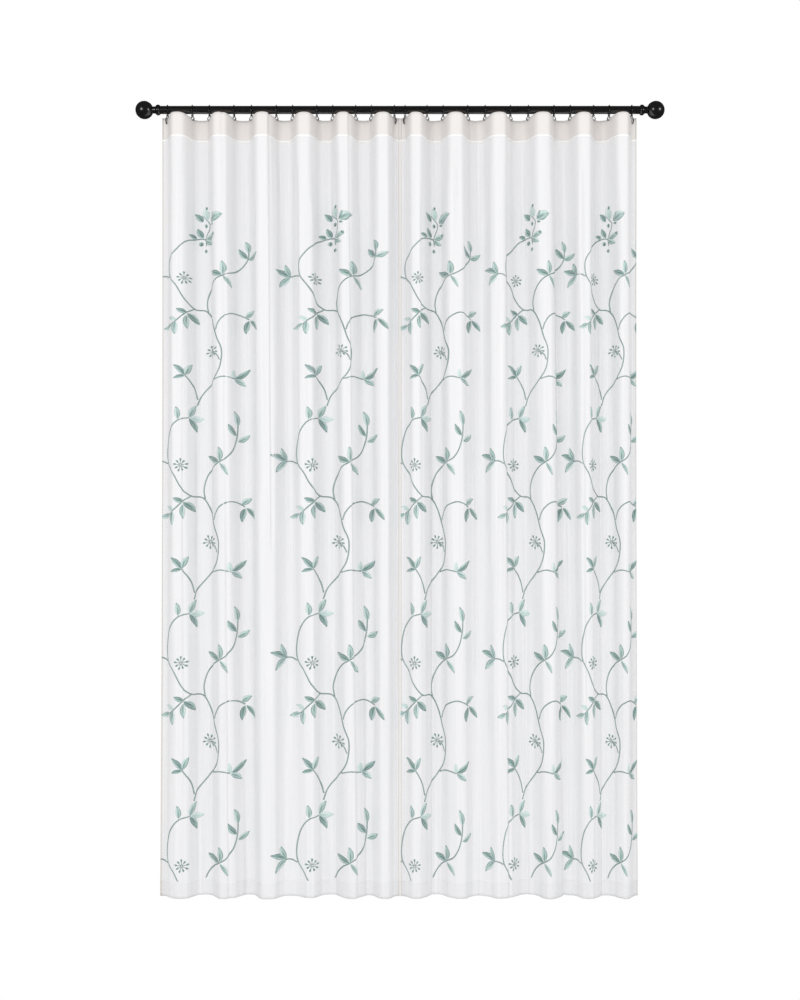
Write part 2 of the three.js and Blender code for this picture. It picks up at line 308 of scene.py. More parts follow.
def smooth(value):
    """0 below 0, 1 above 1, and a smooth rise between."""
    share = np.clip(value, 0, 1)
    return share * share * (3 - 2 * share)


def mix(a, b, share):
    return a + (b - a) * share


# The cloth's surface

def fall_at(z):
    """How far the section has gone from its heading form (0) to its hem form (1)."""
    return np.clip((HEADING_BOTTOM - z) / (HEADING_BOTTOM - HEM_STITCH), 0, 1)


def section(folds, s, z):
    """The point of a level section at s folds from the left side, and its normal towards the wall."""
    rows = np.array(folds)
    fall = fall_at(z)
    first = np.clip(np.floor(s).astype(int), 0, len(folds) - 2)
    t = s - first
    fullness = mix(FULL_HEADING, FULL_HEM, fall)
    gone = np.clip(t, 0, 1) ** fullness
    left = np.clip(1 - t, 0, 1) ** fullness
    steepness = fullness * np.clip(t * (1 - t), 0, 1) ** (fullness - 1) / (gone + left) ** 2

    def place(index):
        x = mix(rows[index, 0], rows[index, 2], fall) + rows[index, 4] * np.sin(math.pi * fall)
        return x, mix(rows[index, 1], rows[index, 3], fall)

    from_x, from_y = place(first)
    to_x, to_y = place(first + 1)
    along = to_x - from_x
    slope = (to_y - from_y) * steepness
    length = np.hypot(along, slope)
    x = from_x + along * t
    y = mix(from_y, to_y, gone / (gone + left))
    return x, y, -slope / length, along / length


def relief(panel, x, z):
    """How far creases and ripples move the voile towards the wall."""
    fall = fall_at(z)
    total = np.zeros_like(x)
    for crease in panel.creases:
        share = (x - mix(crease.top_x, crease.hem_x, fall)) / crease.half_width
        fade_in = smooth((crease.start - z) / CREASE_FADE)
        fade_out = smooth((z - crease.end) / CREASE_FADE) if crease.end > HEM_BOTTOM else 1.0
        total += crease.depth * np.exp(-share * share) * fade_in * fade_out
    below = smooth((HEADING_BOTTOM - z) / RIPPLE_FADE)
    for ripple in RIPPLES:
        wave = 2 * math.pi * x / ripple.length + ripple.phase + ripple.lean * np.sin(1.7 * z + ripple.phase)
        total += ripple.height * below * np.sin(wave)
    return total


def surface(panel, s, z):
    x, y, normal_x, normal_y = section(panel.folds, s, z)
    depth = relief(panel, x, z)
    return np.stack([x + normal_x * depth, y + normal_y * depth, z], -1)


def cloth_points(panel, s, z, lift):
    """Points on the voile, lifted off it towards the room."""
    step_s, step_z = 0.02, 0.004
    across = surface(panel, s + step_s, z) - surface(panel, s - step_s, z)
    down = surface(panel, s, z - step_z) - surface(panel, s, z + step_z)
    normal = np.cross(down, across)
    normal /= np.linalg.norm(normal, axis=-1, keepdims=True)
    return surface(panel, s, z) + normal * np.asarray(lift)[..., None]


def top_edge(panel, s):
    """Height of the cloth's top edge: up at the folds' fronts, sagging at their backs and at the clips."""
    heights = [TOP_FRONT if fold.top_y < 0 else TOP_BACK for fold in panel.folds]
    heights[0] = heights[-1] = TOP_SIDE
    first = np.clip(np.floor(s).astype(int), 0, len(heights) - 2)
    height = mix(np.take(heights, first), np.take(heights, first + 1), smooth(s - first))
    return height - CLIP_DIP * np.sin(math.pi * s) ** 2


def arc_along(panel, s, z):
    """Length of cloth from the left side to each s, along a level section."""
    points = surface(panel, s, np.full_like(s, z))[:, :2]
    steps = np.linalg.norm(np.diff(points, axis=0), axis=1)
    return np.concatenate([[0], np.cumsum(steps)])


# Meshes from arrays

def grid_faces(rows, columns):
    """Quads of a grid whose points run along its rows, from the top row down."""
    index = np.arange(rows * columns).reshape(rows, columns)
    quads = np.stack([index[1:, :-1], index[1:, 1:], index[:-1, 1:], index[:-1, :-1]], -1)
    return quads.reshape(-1, 4).tolist()


def tube_faces(rings, sides):
    """Faces of a tube of rings of points, closed at both ends."""
    index = np.arange(rings * sides).reshape(rings, sides)
    after = np.roll(index, -1, axis=1)
    faces = np.stack([index[:-1], after[:-1], after[1:], index[1:]], -1).reshape(-1, 4).tolist()
    return faces + [index[0, ::-1].tolist(), index[-1].tolist()]


def make_piece(name, points, faces, material, sharp_from=180):
    """A smooth mesh that rides on the curtain's body and takes the given material."""
    mesh = bpy.data.meshes.new(name)
    mesh.from_pydata(np.asarray(points).tolist(), [], faces)
    mesh.shade_smooth()
    mesh.set_sharp_from_angle(angle=math.radians(sharp_from))
    mesh.materials.append(material)
    piece = bpy.data.objects.new(name, mesh)
    bpy.context.scene.collection.objects.link(piece)
    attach(piece, "root")
    return piece


def add_uv(piece, u, v):
    """Puts cloth coordinates, in metres, on a mesh's points."""
    mesh = piece.data
    corners = np.zeros(len(mesh.loops), int)
    mesh.loops.foreach_get("vertex_index", corners)
    values = np.stack([np.ravel(u)[corners], np.ravel(v)[corners]], -1)
    mesh.uv_layers.new(name="cloth").data.foreach_set("uv", values.ravel())


def set_values(piece, name, values):
    """Puts one number on each of a mesh's points."""
    attribute = piece.data.attributes.new(name, "FLOAT", "POINT")
    attribute.data.foreach_set("value", np.ravel(values).astype(float))


# Materials

class Finish:
    """A material around one surface shader, with short calls for its nodes."""

    def __init__(self, name, **inputs):
        self.material = bpy.data.materials.new(name)
        self.material.use_nodes = True
        self.tree = self.material.node_tree
        self.shader = self.tree.nodes["Principled BSDF"]
        for label, value in inputs.items():
            self.shader.inputs[label.replace("_", " ")].default_value = value

    def node(self, kind, values=None, **settings):
        made = self.tree.nodes.new(kind)
        for label, value in settings.items():
            setattr(made, label, value)
        for label, value in (values or {}).items():
            made.inputs[label].default_value = value
        return made

    def link(self, source, target):
        self.tree.links.new(source, target)

    def math(self, operation, first, second=None):
        made = self.node("ShaderNodeMath", operation=operation)
        for socket, value in zip(made.inputs, (first, second)):
            if isinstance(value, bpy.types.NodeSocket):
                self.link(value, socket)
            elif value is not None:
                socket.default_value = value
        return made.outputs[0]

    def cloth_uv(self, across, down):
        """Cloth coordinates, scaled across and down."""
        uv = self.node("ShaderNodeUVMap", uv_map="cloth")
        mapping = self.node("ShaderNodeMapping", {"Scale": (across, down, 1)})
        self.link(uv.outputs["UV"], mapping.inputs["Vector"])
        return mapping.outputs["Vector"]

    def noise(self, vector, scale, detail=2.0):
        made = self.node("ShaderNodeTexNoise", {"Scale": scale, "Detail": detail})
        if vector is not None:
            self.link(vector, made.inputs["Vector"])
        return made.outputs["Fac"]

    def spread(self, value, low, high, to_low, to_high, target):
        """Maps a value's range onto another, into a socket."""
        made = self.node("ShaderNodeMapRange", {
            "From Min": low, "From Max": high, "To Min": to_low, "To Max": to_high})
        self.link(value, made.inputs["Value"])
        self.link(made.outputs["Result"], target)

    def tint(self, value, dark, light):
        """A colour between two, into the base colour."""
        ramp = self.node("ShaderNodeValToRGB")
        for stop, colour in zip(ramp.color_ramp.elements, (dark, light)):
            stop.color = (*linear(colour), 1)
        self.link(value, ramp.inputs["Fac"])
        self.link(ramp.outputs["Color"], self.shader.inputs["Base Color"])
        return ramp

    def blend(self, share, colour, other):
        """A linked colour, turned into another by a linked share; the numbers are the colour sockets."""
        made = self.node("ShaderNodeMix", {7: (*linear(other), 1)}, data_type="RGBA")
        self.link(share, made.inputs[0])
        self.link(colour, made.inputs[6])
        return made.outputs[2]

    def bump(self, height, strength, distance):
        made = self.node("ShaderNodeBump", {"Strength": strength, "Distance": distance})
        self.link(height, made.inputs["Height"])
        self.link(made.outputs["Normal"], self.shader.inputs["Normal"])

    def weave(self, pitch):
        """Height of a plain weave of threads."""
        turns = 2 * math.pi / pitch
        parts = self.node("ShaderNodeSeparateXYZ")
        self.link(self.cloth_uv(turns, turns), parts.inputs[0])
        warp = self.math("SINE", parts.outputs["X"])
        weft = self.math("SINE", parts.outputs["Y"])
        return self.math("MULTIPLY", warp, weft)


def voile_finish():
    """Sheer white voile: a fine open weave with uneven threads running down it, closer where lined, with grey
    painted shade at its side edges.
    """
    finish = Finish("voile", Roughness=0.75, Sheen_Weight=0.12, Sheen_Roughness=0.5)
    slubs = finish.noise(finish.cloth_uv(420, 2.2), 1.0, 3.0)
    ramp = finish.tint(slubs, (223, 223, 225), (235, 235, 237))
    ramp.color_ramp.elements[0].position = 0.30
    ramp.color_ramp.elements[1].position = 0.70
    lined = finish.node("ShaderNodeAttribute", attribute_name="lined").outputs["Fac"]
    warm = finish.blend(lined, ramp.outputs["Color"], CREAM)
    # The columns near the side edges take a grey painted shade.
    beside = finish.node("ShaderNodeAttribute", attribute_name="beside").outputs["Fac"]
    sides = finish.blend(beside, warm, SIDE_PAINTED_SHADE)
    finish.link(sides, finish.shader.inputs["Base Color"])
    open_weave = finish.node("ShaderNodeMapRange", {
        "From Min": 0.3, "From Max": 0.7, "To Min": 0.80, "To Max": 0.68})
    finish.link(slubs, open_weave.inputs["Value"])
    closed = finish.math("MAXIMUM", open_weave.outputs["Result"], finish.math("MULTIPLY", lined, 0.94))
    turned = finish.node("ShaderNodeAttribute", attribute_name="turned").outputs["Fac"]
    thinner = finish.math("MULTIPLY", turned, 0.55)
    finish.link(finish.math("SUBTRACT", closed, thinner), finish.shader.inputs["Alpha"])
    finish.bump(finish.math("ADD", finish.weave(0.0007), slubs), 0.12, 0.0004)
    return finish.material


def band_finish():
    """A closer, warmer cloth behind the heading."""
    finish = Finish("heading_band", Roughness=0.85, Alpha=0.96)
    threads = finish.noise(finish.cloth_uv(300, 300), 1.0, 2.0)
    finish.tint(threads, (222, 206, 190), (236, 222, 207))
    finish.bump(finish.math("ADD", finish.weave(0.0012), threads), 0.25, 0.0004)
    return finish.material


def white_thread_finish():
    """Bright white sewing thread and edge cord, with a twist."""
    finish = Finish("white_thread", Roughness=0.6, Sheen_Weight=0.2)
    place = finish.node("ShaderNodeTexCoord")
    finish.tint(finish.noise(place.outputs["Object"], 900, 1.0), (246, 246, 245), (253, 253, 252))
    finish.bump(finish.noise(place.outputs["Object"], 1400, 1.0), 0.2, 0.0003)
    return finish.material


def embroidery_finish():
    """Satin-stitched rayon: each point has its own thread colour, and the stitches lie side by side, with
    painted shade in their grooves and a painted highlight on their crowns.
    """
    finish = Finish("embroidery", Roughness=0.42, Sheen_Weight=0.15, Anisotropic=0.3)
    colour = finish.node("ShaderNodeVertexColor", layer_name="thread")
    stitch = finish.node("ShaderNodeAttribute", attribute_name="stitch")
    lines = finish.math("SINE", finish.math("MULTIPLY", stitch.outputs["Fac"], 2 * math.pi / 0.0011))
    # Painted shade and highlight: the colour darkens in the grooves between stitches and lightens on their
    # crowns, in step with the bump.
    painted_stitch_shade = finish.node("ShaderNodeMapRange", {"From Min": -1, "From Max": 1, "To Min": 0.90, "To Max": 1.05})
    finish.link(lines, painted_stitch_shade.inputs["Value"])
    tone = finish.node("ShaderNodeVectorMath", operation="SCALE")
    finish.link(colour.outputs["Color"], tone.inputs[0])
    finish.link(painted_stitch_shade.outputs["Result"], tone.inputs["Scale"])
    finish.link(tone.outputs["Vector"], finish.shader.inputs["Base Color"])
    finish.bump(lines, 0.35, 0.0003)
    return finish.material


def black_metal_finish():
    """Black enamelled metal, a little uneven."""
    finish = Finish("black_metal", IOR=2.0)
    place = finish.node("ShaderNodeTexCoord")
    haze = finish.noise(place.outputs["Object"], 60, 3.0)
    finish.tint(haze, (7, 7, 8), (13, 13, 14))
    finish.spread(haze, 0.3, 0.7, 0.20, 0.26, finish.shader.inputs["Roughness"])
    finish.bump(finish.noise(place.outputs["Object"], 900, 2.0), 0.01, 0.0002)
    return finish.material


VOILE = voile_finish()
BAND = band_finish()
WHITE_THREAD = white_thread_finish()
EMBROIDERY = embroidery_finish()
BLACK_METAL = black_metal_finish()


# The panels

COLUMNS_PER_FOLD = 50
HEADING_ROWS = 8
PANEL_ROWS = 130
HEM_ROWS = 6
SIDE_HEM_COLUMNS = 5
TURN = (0.25, 0.75)  # shares of a turned edge's layer step
TOP_TURN = ((0.004, -0.0036), (0.0012, -0.0036), (0.0, -0.0018))  # the turned top: drop and lift
BAND_INSET = 0.04  # share of a half wave at each end
BAND_DROP = 0.0015  # from the cloth's top edge to the band's
UNLINED = 0.0015  # from the band's lower edge to where the voile is plain again
SIDE_SHADE_REACH = 0.07  # share of the first half wave where the doubled side hem gets grey painted shade


def turned_columns(panel):
    """The columns of a panel with its two side hems turned behind it: s, and how far behind."""
    folds = len(panel.folds) - 1
    plain = np.linspace(0, folds, folds * COLUMNS_PER_FOLD + 1)
    first_x, second_x = panel.folds[0].top_x, panel.folds[1].top_x
    hem = SIDE_HEM / (second_x - first_x)
    turned = np.linspace(hem, 0, SIDE_HEM_COLUMNS)
    left = np.concatenate([turned, [0, 0]])
    lift_left = np.concatenate([np.full(SIDE_HEM_COLUMNS, LAYER), [LAYER * TURN[1], LAYER * TURN[0]]])
    s = np.concatenate([left, plain, folds - left[::-1]])
    lift = np.concatenate([lift_left, np.zeros_like(plain), lift_left[::-1]])
    return s, -lift


def make_panel(panel):
    """A panel: one open sheet from its turned top edge to its turned hem, with its side hems."""
    s, side_lift = turned_columns(panel)
    top = top_edge(panel, s)
    rows = [(top - drop, lift) for drop, lift in TOP_TURN]
    for share in np.linspace(0, 1, HEADING_ROWS):
        rows.append((mix(top, HEADING_BOTTOM, share), 0.0))
    rows.append((np.full_like(s, HEADING_BOTTOM - UNLINED), 0.0))
    for z in np.linspace(HEADING_BOTTOM, HEM_STITCH, PANEL_ROWS)[1:]:
        rows.append((np.full_like(s, z), 0.0))
    for z in np.linspace(HEM_STITCH, HEM_BOTTOM, HEM_ROWS)[1:]:
        rows.append((np.full_like(s, z), 0.0))
    for z in np.linspace(HEM_BOTTOM, HEM_STITCH, HEM_ROWS):
        rows.append((np.full_like(s, z), -2 * LAYER))
    z = np.stack([row[0] for row in rows])
    lift = np.stack([np.full_like(s, row[1]) for row in rows]) + side_lift
    s_grid = np.broadcast_to(s, z.shape)
    points = cloth_points(panel, s_grid, z, lift)
    piece = make_piece(f"voile_{panel.side}", points.reshape(-1, 3), grid_faces(*z.shape), VOILE)
    ordered = np.linspace(0, len(panel.folds) - 1, 400)
    middle = (HEADING_BOTTOM + HEM_STITCH) / 2
    width = np.interp(s, ordered, arc_along(panel, ordered, middle))
    add_uv(piece, np.broadcast_to(width, z.shape), z)
    # columns near the side edges, which get the grey painted shade
    beside = np.minimum(s, len(panel.folds) - 1 - s) < SIDE_SHADE_REACH
    set_values(piece, "beside", np.broadcast_to(beside, z.shape))
    set_values(piece, "lined", z > HEADING_BOTTOM - UNLINED / 2)
    set_values(piece, "turned", (lift < -1e-6) & (z < HEADING_BOTTOM))
    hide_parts(f"panel_{panel.side}")
    return piece


def make_band(panel):
    """The heading band behind the panel's top."""
    folds = len(panel.folds) - 1
    s = np.linspace(BAND_INSET, folds - BAND_INSET, folds * COLUMNS_PER_FOLD + 1)
    top = top_edge(panel, s) - BAND_DROP
    z = np.stack([mix(top, HEADING_BOTTOM, share) for share in np.linspace(0, 1, HEADING_ROWS)])
    s_grid = np.broadcast_to(s, z.shape)
    points = cloth_points(panel, s_grid, z, np.full(z.shape, BAND_LIFT))
    faces = grid_faces(*z.shape)
    piece = make_piece(f"band_{panel.side}", points.reshape(-1, 3), faces, BAND)
    add_uv(piece, np.broadcast_to(arc_along(panel, s, HEADING_BOTTOM), z.shape), z)
    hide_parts(f"heading_{panel.side}")
    return piece


# Thread on the cloth

class Threads:
    """Gathers raised threads laid on a plan of places across and heights down the cloth."""

    def __init__(self):
        self.places, self.lifts, self.colours, self.stitches, self.faces = [], [], [], [], []
        self.count = 0

    def add(self, path, half_widths, sides, colour_of, slant, front=THREAD_FRONT, back=THREAD_BACK, rib=0.0):
        """A thread along a path on the plan, round in section and closed at both ends."""
        path = np.asarray(path, float)
        half_widths = np.asarray(half_widths, float)
        tangent = np.gradient(path, axis=0)
        tangent /= np.linalg.norm(tangent, axis=1, keepdims=True) + 1e-12
        normal = np.stack([-tangent[:, 1], tangent[:, 0]], -1)
        angle = 2 * math.pi * np.arange(sides) / sides
        across, up = np.cos(angle), np.sin(angle)
        places = path[:, None] + normal[:, None] * (across[None, :, None] * half_widths[:, None, None])
        fullness = np.sqrt(np.clip(half_widths / half_widths.max(), 0.05, 1))[:, None]
        lift = np.where(up > 0, up * front * (1 - rib * np.exp(-(across / 0.25) ** 2)), up * back)
        steps = np.linalg.norm(np.diff(path, axis=0), axis=1)
        along = np.concatenate([[0], np.cumsum(steps)])
        share = along / along[-1]
        self.places.append(places.reshape(-1, 2))
        self.lifts.append((fullness * lift).ravel())
        self.colours.append(colour_of(share[:, None], across[None, :]).reshape(-1, 3))
        offset = np.abs(across) if rib else across
        self.stitches.append((along[:, None] + slant * offset * half_widths[:, None]).ravel())
        self.faces.extend([i + self.count for i in face] for face in tube_faces(len(path), sides))
        self.count += len(path) * sides


def curve_through(points, step=0.005):
    """A smooth curve through a few points, as points about a step apart."""
    points = np.asarray(points, float)
    ends = np.concatenate([[2 * points[0] - points[1]], points, [2 * points[-1] - points[-2]]])
    made = []
    for p0, p1, p2, p3 in zip(ends, ends[1:], ends[2:], ends[3:]):
        count = max(2, int(np.linalg.norm(p2 - p1) / step))
        t = (np.arange(count) / count)[:, None]
        made.append(0.5 * (2 * p1 + (p2 - p0) * t + (2 * p0 - 5 * p1 + 4 * p2 - p3) * t ** 2
                           + (3 * p1 - p0 - 3 * p2 + p3) * t ** 3))
    return np.concatenate([*made, points[-1:]])


def pointing(angle):
    """The way on the plan, which runs down, of an angle measured up from the right."""
    return np.array([math.cos(math.radians(angle)), -math.sin(math.radians(angle))])


def stem_colour(share, across):
    wave = 0.5 + 0.5 * np.sin(9 * share + 2.0 * across)
    tone = np.broadcast_to(0.25 + 0.6 * wave, np.broadcast_shapes(share.shape, across.shape))
    return mix(linear(STEM_DARK), linear(STEM_GREEN), tone[..., None])


def leaf_colour(thread):
    """Colour of a leaf: shaded along its rib, at its tip and over one half."""
    def colour_of(share, across):
        side = smooth(0.5 + across * 2.2)
        rib = np.exp(-(across / 0.24) ** 2) * smooth(1.15 - share)
        tip = smooth((share - 0.78) / 0.22)
        edge = smooth((across - 0.45) / 0.4)
        strokes = 0.10 * np.sin(18 * share - 6 * np.abs(across))
        if thread == 0:
            tone = 0.15 + 0.18 * side + 0.60 * rib + 0.42 * tip + 0.34 * edge + strokes
        elif thread == 1:
            tone = 0.42 + 0.16 * side + 0.50 * rib + 0.26 * tip + 0.26 * edge + strokes
        else:
            tone = 0.02 + 0.14 * side + 0.34 * rib * smooth(1 - share) + 0.20 * tip
        return ramp_colour(tone)
    return colour_of


def ramp_colour(tone):
    """A green from pale (0) to deep (1)."""
    stops = np.array([linear(colour) for colour in (PALE_MINT, MINT, SAGE, DEEP_SAGE)])
    place = np.clip(tone, 0, 1)
    levels = np.linspace(0, 1, len(stops))
    return np.stack([np.interp(place, levels, stops[:, channel]) for channel in range(3)], -1)


def add_leaf(threads, leaf, bend):
    """A pointed leaf in two rows of satin stitches that meet along its rib."""
    share = np.linspace(0.0, 1.0, 11)
    way = pointing(leaf.angle)
    side = np.array([-way[1], way[0]])
    path = (np.array([leaf.x, leaf.y]) + np.outer(share * leaf.length, way)
            + np.outer(np.sin(math.pi * share) * bend * leaf.length, side))
    half = LEAF_BREADTH * leaf.width / 2 * np.clip(np.sin(math.pi * share ** 0.85), 0, 1) ** 0.8 + 0.0003
    threads.add(path, half, 12, leaf_colour(leaf.thread), 0.9, rib=0.35)


def add_berry(threads, berry):
    share = np.linspace(0, 1, 7)
    path = np.array([berry.x, berry.y]) + np.outer((share - 0.5) * berry.length, pointing(berry.angle))
    half = berry.width / 2 * np.sqrt(np.clip(1 - (2 * share - 1) ** 2, 0, 1)) + 0.0003
    threads.add(path, half, 8, leaf_colour(1), 0.9)


def add_stem(threads, points, width=STEM_WIDTH):
    path = curve_through(points)
    threads.add(path, np.full(len(path), width / 2), 6, stem_colour, -1.2)


def add_seed_head(threads, head):
    """Stalks from a point, each ending in a drop."""
    for stalk in range(head.stalks):
        angle = head.turn + 360 * stalk / head.stalks
        way = pointing(angle)
        centre = np.array([head.x, head.y])
        reach = head.radius * (1 - 0.12 * (stalk % 2))
        stem = [centre + way * 0.1 * reach, centre + way * 0.7 * reach]
        threads.add(np.linspace(*stem, 4), np.full(4, STALK_WIDTH / 2), 5, stem_colour, -1.2)
        place = centre + way * (reach - DROP[0] / 2)
        add_berry(threads, Berry(*place, angle, *DROP))


def chart_repeat(is_first):
    """The threads of one repeat, the top one with its crown."""
    threads = Threads()
    add_stem(threads, (CROWN_STEM if is_first else CURL_STEM) + MAIN_STEM)
    add_stem(threads, CROWN_BRANCH if is_first else RIGHT_BRANCH)
    for points in SIDE_STEMS:
        add_stem(threads, points)
    for points in CROWN_STEMS if is_first else ():
        add_stem(threads, points, 0.7 * STEM_WIDTH)
    for number, leaf in enumerate(LEAVES + (CROWN_LEAVES if is_first else CURL_LEAVES)):
        add_leaf(threads, leaf, 0.06 if number % 2 else -0.06)
    for berry in CROWN_BERRIES if is_first else ():
        add_berry(threads, berry)
    for head in SEED_HEADS:
        add_seed_head(threads, head)
    return threads


class ClothPlan:
    """Finds s on a panel from a place across the cloth's plan, at any height."""
    LEVELS = 90

    def __init__(self, panel):
        self.panel = panel
        self.s = np.linspace(0, len(panel.folds) - 1, 600)
        self.z = np.linspace(TOP_BACK, HEM_BOTTOM, self.LEVELS)
        self.x, self.plan = [], []
        for z in self.z:
            x = section(panel.folds, self.s, np.full_like(self.s, z))[0]
            arc = arc_along(panel, self.s, z)
            even = mix(x[0], x[-1], arc / arc[-1])
            self.x.append(x)
            self.plan.append(mix(x, even, panel.around_folds))

    def s_at_level(self, level, vine_x, across):
        middle = np.interp(vine_x, self.x[level], self.plan[level])
        return np.interp(middle + across, self.plan[level], self.s)

    def s_at(self, vine_x, across, z):
        place = np.interp(-z, -self.z, np.arange(self.LEVELS))
        first = np.minimum(place.astype(int), self.LEVELS - 2)
        s = np.zeros_like(z)
        for level in np.unique(first):
            here = first == level
            upper = self.s_at_level(level, vine_x, across[here])
            lower = self.s_at_level(level + 1, vine_x, across[here])
            s[here] = mix(upper, lower, place[here] - level)
        return s


def make_embroidery(panel):
    """All the vines of a panel, in one mesh that stands on the voile's room side."""
    plan = ClothPlan(panel)
    charts = {first: chart_repeat(first) for first in (True, False)}
    points, faces, colours, stitches = [], [], [], []
    count = 0
    lowest = HEM_STITCH + CUT_MARGIN
    for vine in panel.vines:
        for repeat in REPEATS:
            chart = charts[repeat is REPEATS[0]]
            place = np.concatenate(chart.places)
            z = repeat.top - place[:, 1] * repeat.length / CHART_LENGTH
            across = (place[:, 0] + repeat.shift) * vine.narrow
            s = plan.s_at(vine.x, across, np.maximum(z, lowest))
            inside = (z > lowest) & (s > 1e-4) & (s < len(panel.folds) - 1 - 1e-4)
            points.append(cloth_points(panel, s, np.maximum(z, lowest), np.concatenate(chart.lifts)))
            faces.extend([i + count for i in face] for face in chart.faces if inside[face].any())
            colours.append(np.concatenate(chart.colours))
            stitches.append(np.concatenate(chart.stitches))
            count += len(place)
    points = np.concatenate(points)
    used = np.unique(np.concatenate([np.ravel(face) for face in faces]))
    renumber = np.full(count, -1)
    renumber[used] = np.arange(len(used))
    shown_faces = [renumber[face].tolist() for face in faces]
    piece = make_piece(f"embroidery_{panel.side}", points[used], shown_faces, EMBROIDERY)
    colour = piece.data.color_attributes.new("thread", "FLOAT_COLOR", "POINT")
    shown = np.concatenate([np.concatenate(colours)[used], np.ones((len(used), 1))], 1)
    colour.data.foreach_set("color", shown.ravel())
    set_values(piece, "stitch", np.concatenate(stitches)[used])
    return piece


# Sewing

CORD_INSET = 0.02  # share of a half wave at each end
CORD_HALF = 0.0026
CORD_FRONT = 0.0012
CORD_BACK = 0.0022
STITCH = (0.0028, 0.0007)  # length and width
STITCH_PITCH = 0.0042
STITCH_LIFT = 0.0006
STITCH_SIDES = 6
STITCH_REACH = (-0.5, -0.3, 0.3, 0.5)  # rings along a stitch, as shares of its length
STITCH_TAPER = (0.35, 1, 1, 0.35)


def sweep_on_cloth(panel, s, z, half_width, front, back, sides=8):
    """A cord along the cloth at given s and z, as points and faces."""
    angle = 2 * math.pi * np.arange(sides) / sides
    z_ring = z[:, None] + half_width * np.cos(angle)
    lift = np.where(np.sin(angle) > 0, front, back) * np.sin(angle)
    s_ring = np.broadcast_to(s[:, None], z_ring.shape)
    points = cloth_points(panel, s_ring, z_ring, np.broadcast_to(lift, z_ring.shape))
    return points.reshape(-1, 3), [face[::-1] for face in tube_faces(len(s), sides)]


def make_edge_cord(panel):
    """The bright sewn edge along the heading's lower side."""
    folds = len(panel.folds) - 1
    s = np.linspace(CORD_INSET, folds - CORD_INSET, folds * COLUMNS_PER_FOLD + 1)
    z = np.full_like(s, HEADING_BOTTOM)
    points, faces = sweep_on_cloth(panel, s, z, CORD_HALF, CORD_FRONT, CORD_BACK)
    return make_piece(f"edge_cord_{panel.side}", points, faces, WHITE_THREAD)


def stitch_bodies(panel, s, z, side_s, side_z):
    """Small stitches: each row of s and z is one stitch's path, with the half width given in s or z."""
    angle = 2 * math.pi * np.arange(STITCH_SIDES) / STITCH_SIDES
    taper = np.array(STITCH_TAPER)[None, :, None]
    s_ring = s[..., None] + taper * side_s * np.cos(angle)
    z_ring = z[..., None] + taper * side_z * np.cos(angle)
    lift = np.broadcast_to(taper * STITCH_LIFT * np.sin(angle), s_ring.shape)
    return cloth_points(panel, s_ring, z_ring, lift).reshape(-1, 3)


def make_stitches(panel):
    """The stitching along the bottom hem and down both side hems, in one mesh."""
    reach = np.array(STITCH_REACH) * STITCH[0]
    half = STITCH[1] / 2
    folds = len(panel.folds) - 1
    ordered = np.linspace(0, folds, 900)
    arc = arc_along(panel, ordered, HEM_STITCH)
    along = np.arange(STITCH_PITCH, arc[-1], STITCH_PITCH)[:, None] + reach
    hem = stitch_bodies(panel, np.interp(along, arc, ordered), np.full_like(along, HEM_STITCH), 0, half)
    inset = SIDE_HEM / (panel.folds[1].top_x - panel.folds[0].top_x)
    down = np.arange(HEADING_BOTTOM - STITCH_PITCH, HEM_STITCH, -STITCH_PITCH)[:, None] + reach
    half_s = inset * half / SIDE_HEM
    left = stitch_bodies(panel, np.full_like(down, inset), down, half_s, 0)
    right = stitch_bodies(panel, np.full_like(down, folds - inset), down, half_s, 0)
    points = np.concatenate([hem, left, right])
    one = tube_faces(len(STITCH_REACH), STITCH_SIDES)
    starts = range(0, len(points), len(STITCH_REACH) * STITCH_SIDES)
    faces = [[i + start for i in face] for start in starts for face in one]
    return make_piece(f"stitches_{panel.side}", points, faces, WHITE_THREAD)


# Rod, finials, rings and clips

ROUND_SIDES = 64
ROD_CHAMFER = 0.0006
NECK = 0.0092  # radii of the finial's neck and collar
COLLAR = 0.0146
COLLAR_HALF = 0.0065
COLLAR_STEPS = 20
BALL_STEPS = 30
BALL_END = 0.02  # radians short of the ball's end
WIRE = 0.0012
RING_STEPS = 48
WIRE_STEPS = 12


def lathe(profile, sides):
    """Points and faces of a profile of (along, radius) turned about the X axis, its ends closed."""
    angle = 2 * math.pi * np.arange(sides) / sides
    along = np.array([p[0] for p in profile])
    radius = np.array([p[1] for p in profile])
    y = radius[:, None] * np.cos(angle)
    z = radius[:, None] * np.sin(angle)
    points = np.stack([np.broadcast_to(along[:, None], y.shape), y, z], -1).reshape(-1, 3)
    return points, tube_faces(len(profile), sides)


def metal_piece(name, points, faces, node):
    piece = make_piece(name, points, faces, BLACK_METAL, sharp_from=40)
    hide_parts(node)


def make_rod():
    low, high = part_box("rod")
    radius = (high.z - low.z) / 2
    profile = [
        (low.x, radius - ROD_CHAMFER), (low.x + ROD_CHAMFER, radius),
        (high.x - ROD_CHAMFER, radius), (high.x, radius - ROD_CHAMFER),
    ]
    metal_piece("round_rod", *lathe(profile, ROUND_SIDES), "rod")


def make_finial(side, sign):
    """A ball on a neck, with a collar against the rod's end."""
    low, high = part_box(f"finial_{side}")
    ball = (high.z - low.z) / 2
    near = low.x if sign > 0 else high.x
    reach = high.x - low.x
    centre = reach - ball
    profile = [(0.0, NECK)]
    for step in range(1, COLLAR_STEPS):
        angle = math.pi * step / COLLAR_STEPS
        profile.append((COLLAR_HALF * (1 - math.cos(angle)), NECK + (COLLAR - NECK) * math.sin(angle)))
    start = math.asin(NECK / ball)
    for step in range(BALL_STEPS + 1):
        angle = mix(start, math.pi - BALL_END, step / BALL_STEPS)
        profile.append((centre - ball * math.cos(angle), ball * math.sin(angle)))
    placed = [(near + sign * along, radius) for along, radius in profile]
    points, faces = lathe(placed, ROUND_SIDES)
    if sign < 0:
        faces = [face[::-1] for face in faces]
    metal_piece(f"ball_finial_{side}", points, faces, f"finial_{side}")


